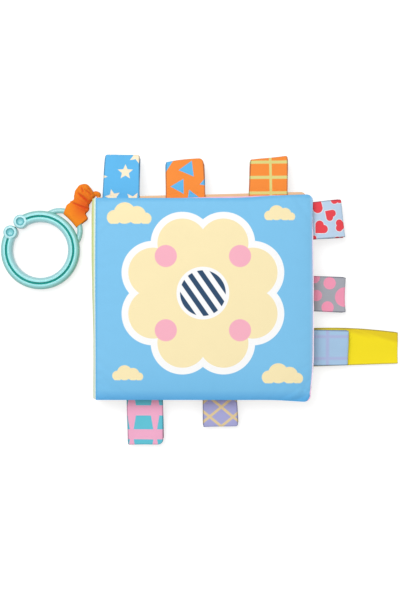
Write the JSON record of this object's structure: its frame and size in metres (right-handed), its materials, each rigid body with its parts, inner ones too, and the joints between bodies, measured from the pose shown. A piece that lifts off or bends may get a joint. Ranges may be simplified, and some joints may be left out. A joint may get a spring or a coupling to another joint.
{
  "type": "crinkle cloth book",
  "caption": "Square soft cloth book with padded crinkle leaves, folded ribbon tags round its edges, and a split plastic ring on a gathered strap.",
  "frame": {"origin": "centre of the page on the flat underside of the back cover", "axes": "+X across the pages from the spine to the free edge, +Y up the page to the edge with the strap, +Z out of the front cover"},
  "size_m": [0.3038, 0.2201, 0.0237],
  "materials": {
    "sky_cloth": "cotton print cloth",
    "pink_cloth": "cotton cloth",
    "tan_cloth": "cotton cloth",
    "mint_cloth": "cotton cloth",
    "lavender_cloth": "cotton cloth",
    "butter_cloth": "cotton cloth",
    "lime_cloth": "cotton cloth",
    "orange_cloth": "smooth cloth",
    "yellow_ribbon": "satin ribbon",
    "aqua_ribbon": "printed ribbon",
    "sky_ribbon": "printed ribbon",
    "orange_ribbon": "printed ribbon",
    "grey_ribbon": "printed ribbon",
    "lilac_ribbon": "printed ribbon",
    "rose_ribbon": "printed ribbon",
    "wadding": "soft fibre wadding",
    "crinkle_film": "thin crackling film",
    "elastic": "woven elastic",
    "teal_plastic": "moulded plastic, glossy"
  },
  "bodies": {
    "back_cover": {"back_cover_inner": "butter_cloth", "back_cover_outer": "lime_cloth", "back_cover_wadding": "wadding", "back_cover_crinkle_film": "crinkle_film", "yellow_label": "yellow_ribbon", "spine_band": "lime_cloth", "strap_sewn_end": "orange_cloth"},
    "second_leaf": {"second_leaf_front": "mint_cloth", "second_leaf_back": "lavender_cloth", "second_leaf_wadding": "wadding", "second_leaf_crinkle_film": "crinkle_film", "dot_tag": "grey_ribbon", "plaid_tag": "aqua_ribbon", "block_tag": "rose_ribbon", "lattice_tag": "lilac_ribbon"},
    "first_leaf": {"first_leaf_front": "tan_cloth", "first_leaf_back": "butter_cloth", "first_leaf_wadding": "wadding", "first_leaf_crinkle_film": "crinkle_film", "star_tag": "sky_ribbon", "triangle_tag": "orange_ribbon", "check_tag": "orange_ribbon", "heart_tag": "aqua_ribbon"},
    "front_cover": {"front_cover_outer": "sky_cloth", "front_cover_inner": "pink_cloth", "front_cover_wadding": "wadding", "front_cover_crinkle_film": "crinkle_film"},
    "strap": {"strap_loop": "orange_cloth", "strap_sleeve": "orange_cloth", "strap_elastic": "elastic"},
    "ring": {"c_ring": "teal_plastic"}
  },
  "joints": [
    {"name": "second_leaf_turn", "type": "hinge", "parent": "back_cover", "child": "second_leaf", "pos_m": [-0.0803, 0, 0.00585], "axis": [0, -1, 0], "range_deg": [0, 60], "deforming": ["spine_band"]},
    {"name": "first_leaf_turn", "type": "hinge", "parent": "second_leaf", "child": "first_leaf", "pos_m": [-0.0803, 0, 0.01185], "axis": [0, -1, 0], "range_deg": [0, 80]},
    {"name": "front_cover_turn", "type": "hinge", "parent": "first_leaf", "child": "front_cover", "pos_m": [-0.0803, 0, 0.01785], "axis": [0, -1, 0], "range_deg": [0, 165]},
    {"name": "strap_swing", "type": "hinge", "parent": "back_cover", "child": "strap", "pos_m": [-0.083, 0.07903, 0.00474], "axis": [0, 0, -1], "range_deg": [-3, 45]},
    {"name": "ring_swing", "type": "hinge", "parent": "strap", "child": "ring", "pos_m": [-0.11022, 0.05181, 0.00425], "axis": [0, 0, 1], "range_deg": [-18, 12]}
  ]
}
